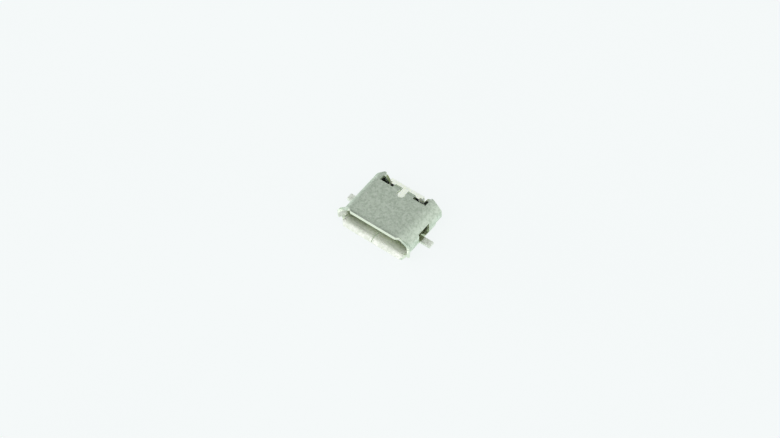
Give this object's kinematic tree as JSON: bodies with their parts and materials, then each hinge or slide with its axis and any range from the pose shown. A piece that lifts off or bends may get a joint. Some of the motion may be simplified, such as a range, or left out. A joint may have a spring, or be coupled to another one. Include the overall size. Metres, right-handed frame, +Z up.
{
  "type": "micro usb socket",
  "caption": "Low micro-B socket for a board edge: a folded sheet shell with a flared mouth, bevelled upper corners and side feet, round a moulded tongue with contact strips.",
  "frame": {"origin": "On the board under the floor, on the line through the middle of both feet, halfway between the side walls", "axes": "+X along the width through the feet, +Y from the mouth to the solder tails, +Z up from the board; the plug enters towards +Y"},
  "size_m": [0.0096, 0.0066, 0.0027],
  "materials": {
    "plated_sheet": "satin plating with fine scratches",
    "moulded_plastic": "matt as moulded",
    "gilt_strip": "thin gold plating"
  },
  "bodies": {
    "root": {"shell": "plated_sheet", "insulator": "moulded_plastic", "contact_1": "gilt_strip", "contact_2": "gilt_strip", "contact_3": "gilt_strip", "contact_4": "gilt_strip", "contact_5": "gilt_strip"}
  },
  "joints": []
}
